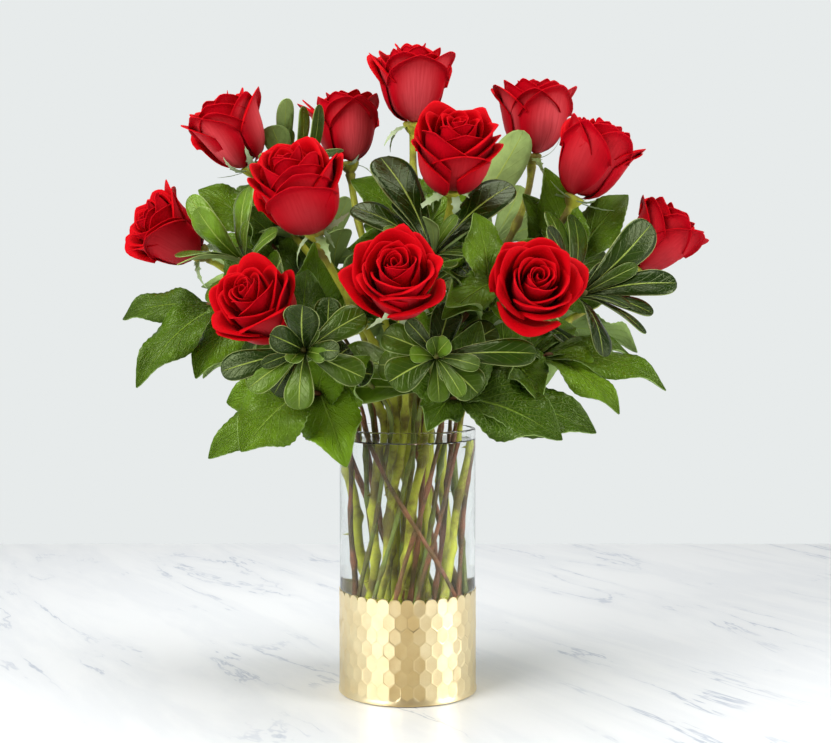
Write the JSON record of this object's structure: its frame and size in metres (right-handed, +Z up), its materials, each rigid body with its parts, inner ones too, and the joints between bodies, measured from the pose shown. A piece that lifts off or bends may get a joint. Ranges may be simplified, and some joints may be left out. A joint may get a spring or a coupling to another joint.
{
  "type": "roses in a vase",
  "caption": "Red roses with mixed glossy and broad green foliage standing in a water-filled clear glass cylinder vase with a gold honeycomb band.",
  "frame": {"origin": "centre of the vase's foot, on the surface it stands on", "axes": "+Z up along the vase's axis; -Y is the front of the bouquet, +X its right side seen from the front"},
  "size_m": [0.4385, 0.3306, 0.4877],
  "materials": {
    "clear_glass": "clear, polished",
    "water": "clear water",
    "champagne_gold": "pale champagne gold, soft polish",
    "rose_petal": "velvety red petal",
    "rose_stem": "fresh green stem, satin",
    "pittosporum_leaf": "glossy dark green leaf with a pale margin",
    "salal_leaf": "satin bright green leaf"
  },
  "bodies": {
    "root": {"rose_top_bloom": "rose_petal", "rose_top_stem": "rose_stem", "rose_upper_left_bloom": "rose_petal", "rose_upper_left_stem": "rose_stem", "rose_back_left_bloom": "rose_petal", "rose_back_left_stem": "rose_stem", "rose_front_upper_left_bloom": "rose_petal", "rose_front_upper_left_stem": "rose_stem", "rose_centre_right_bloom": "rose_petal", "rose_centre_right_stem": "rose_stem", "rose_back_right_bloom": "rose_petal", "rose_back_right_stem": "rose_stem", "rose_right_bloom": "rose_petal", "rose_right_stem": "rose_stem", "rose_far_right_bloom": "rose_petal", "rose_far_right_stem": "rose_stem", "rose_far_left_bloom": "rose_petal", "rose_far_left_stem": "rose_stem", "rose_low_left_bloom": "rose_petal", "rose_low_left_stem": "rose_stem", "rose_low_centre_bloom": "rose_petal", "rose_low_centre_stem": "rose_stem", "rose_low_right_bloom": "rose_petal", "rose_low_right_stem": "rose_stem", "pittosporum_front_left": "pittosporum_leaf", "pittosporum_front_middle": "pittosporum_leaf", "pittosporum_middle": "pittosporum_leaf", "pittosporum_right": "pittosporum_leaf", "pittosporum_left": "pittosporum_leaf", "pittosporum_top": "pittosporum_leaf", "pittosporum_back_left": "pittosporum_leaf", "pittosporum_back_right": "pittosporum_leaf", "salal_left": "salal_leaf", "salal_low_left": "salal_leaf", "salal_low_right": "salal_leaf", "salal_right": "salal_leaf", "salal_middle": "salal_leaf", "salal_behind_right": "salal_leaf", "salal_behind_left": "salal_leaf", "salal_centre": "salal_leaf", "salal_back_left": "salal_leaf", "salal_back_middle": "salal_leaf", "salal_back_right": "salal_leaf", "vase_glass": "clear_glass", "vase_gold_band": "champagne_gold", "vase_water": "water"}
  },
  "joints": []
}
